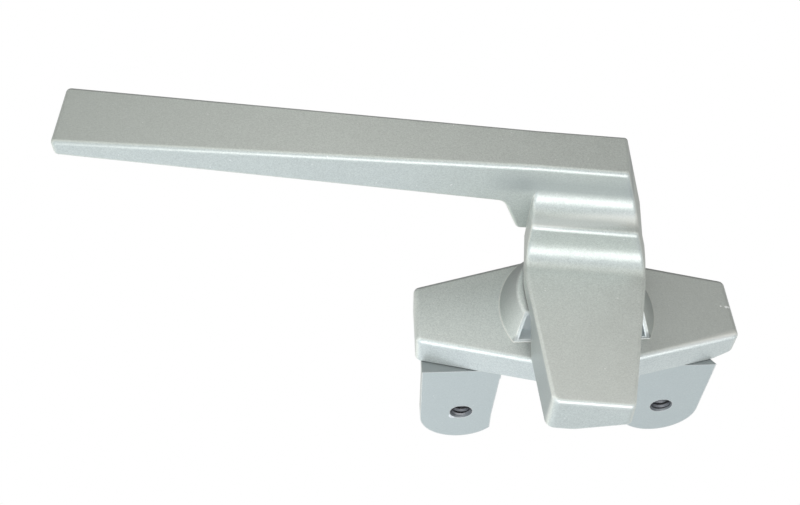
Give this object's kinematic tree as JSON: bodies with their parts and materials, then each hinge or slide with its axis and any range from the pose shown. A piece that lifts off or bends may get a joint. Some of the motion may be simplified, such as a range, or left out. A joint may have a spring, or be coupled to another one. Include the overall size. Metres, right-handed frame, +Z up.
{
  "type": "casement window cam handle",
  "caption": "Cast window lever with a stepped hub and a tapering locking nose, turning on a six-sided plate with an angle bracket behind it.",
  "frame": {"origin": "midway between the two tapped holes, on the underside of the bracket's legs", "axes": "+X along the plate to the right as seen from the room, +Y from the room towards the window, +Z up the plate's short side, away from the nose; on a window hinged at its side the whole part is turned a quarter turn about Y"},
  "size_m": [0.1265, 0.0575, 0.0626],
  "materials": {
    "lever_paint": "satin",
    "plate_paint": "satin",
    "bracket_paint": "satin",
    "stud_steel": "turned",
    "spring_steel": "rolled",
    "washer_steel": "plated"
  },
  "bodies": {
    "base": {"base_plate": "plate_paint", "mounting_bracket": "bracket_paint", "spring_washer": "spring_steel"},
    "lever": {"lever": "lever_paint", "pivot_stud": "stud_steel", "tail_washer": "washer_steel"}
  },
  "joints": [
    {"name": "lever_pivot", "type": "hinge", "parent": "base", "child": "lever", "pos_m": [0.0012, -0.0218, 0.0092], "axis": [0, 1, 0], "range_deg": [-7, 83]}
  ]
}
